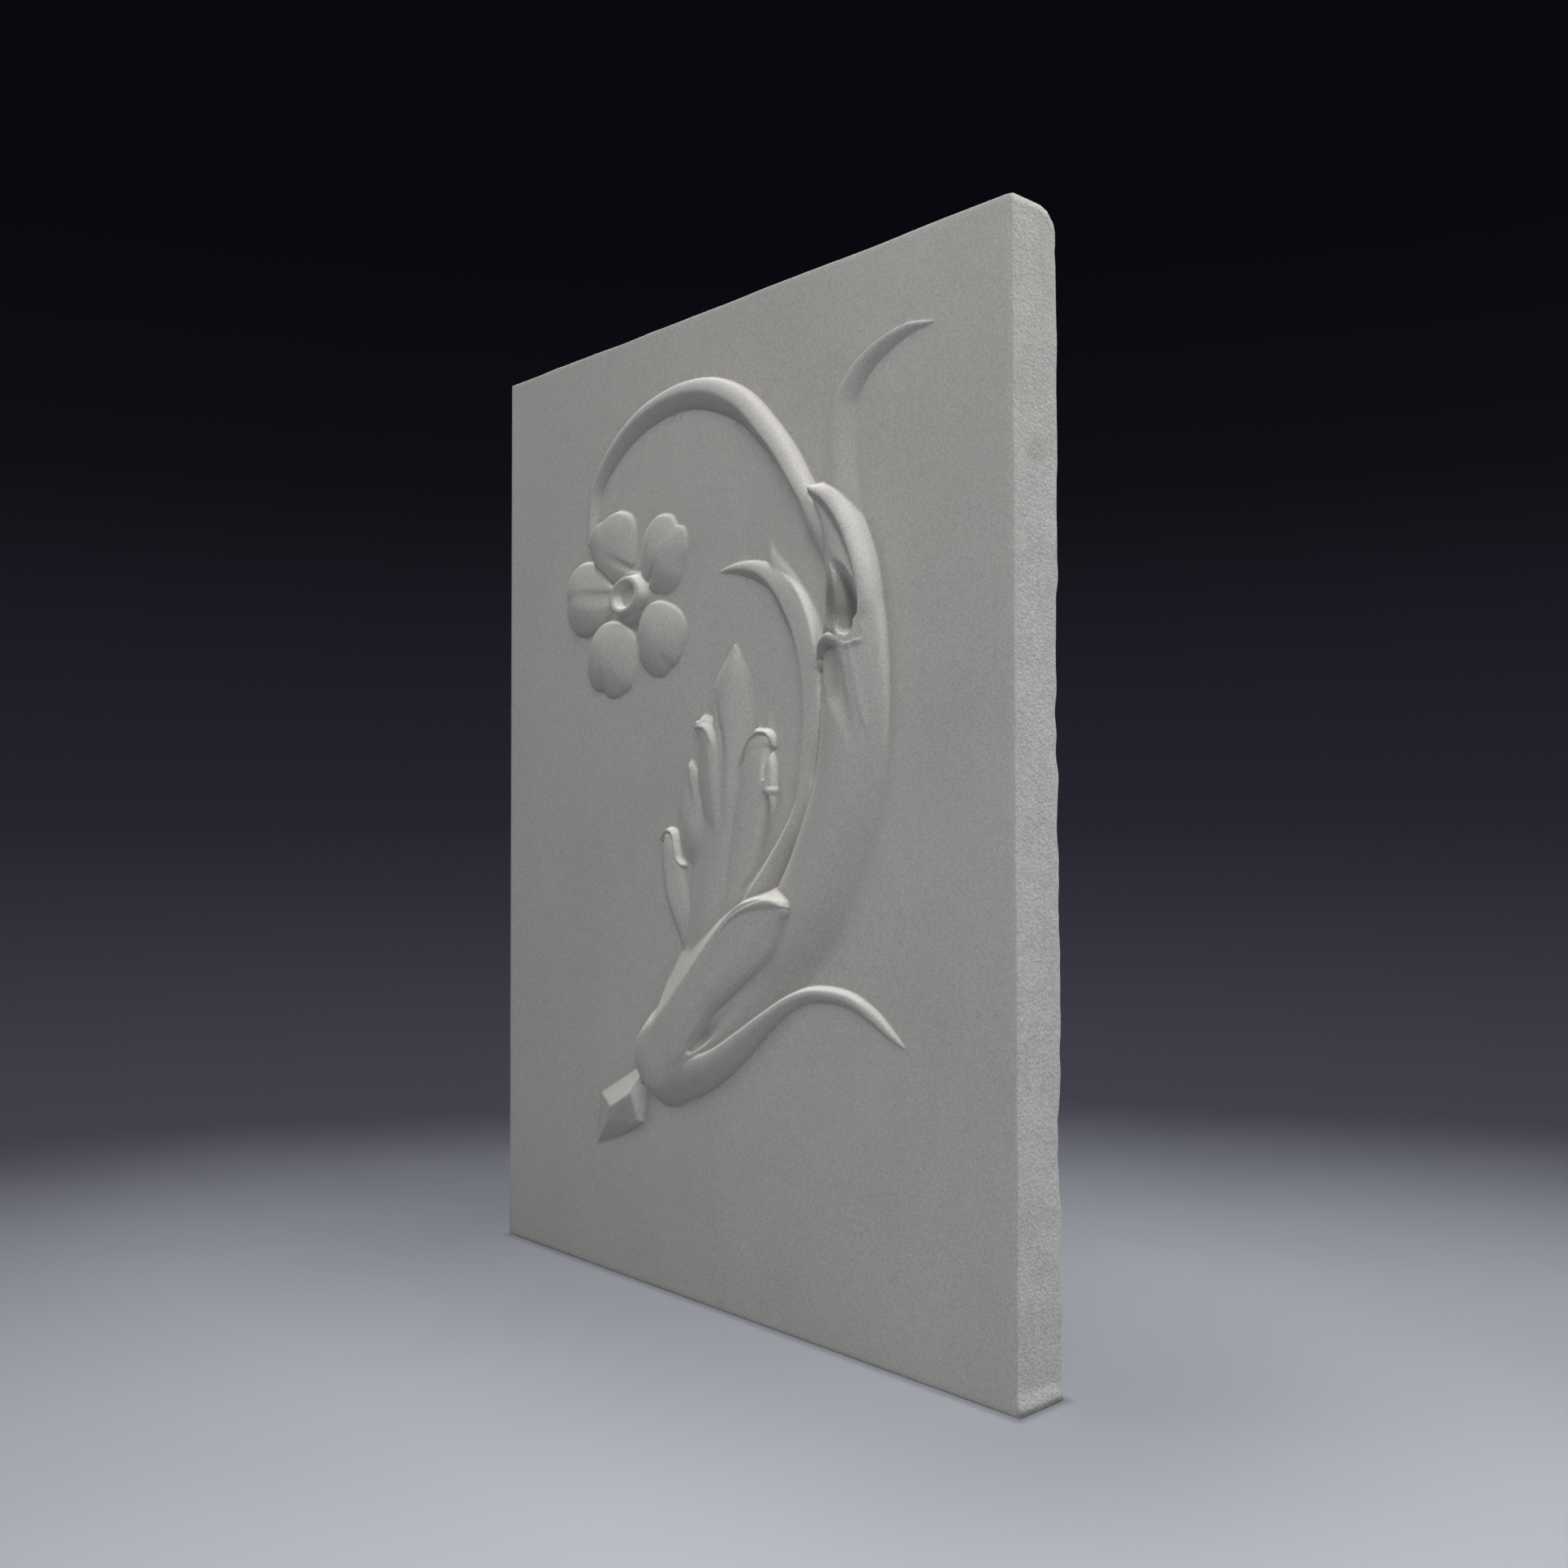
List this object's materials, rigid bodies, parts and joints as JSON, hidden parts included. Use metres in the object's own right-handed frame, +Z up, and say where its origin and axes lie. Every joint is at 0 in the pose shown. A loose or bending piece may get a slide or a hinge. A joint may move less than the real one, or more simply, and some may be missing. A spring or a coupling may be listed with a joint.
{
  "type": "plaster bas-relief",
  "caption": "Upright rectangular plaster slab carved in low relief with a flower on an arching stem, a leaf cluster, opening sheaths and tendrils.",
  "frame": {"origin": "middle of the slab's flat underside, halfway through its thickness", "axes": "+Z up along the slab's height, +Y toward its flat back, so that the carved face looks toward -Y, and +X to the right as seen from the front"},
  "size_m": [0.3006, 0.0374, 0.4],
  "materials": {
    "plaster": "matt cast plaster"
  },
  "bodies": {
    "root": {"plaster_relief": "plaster"}
  },
  "joints": []
}
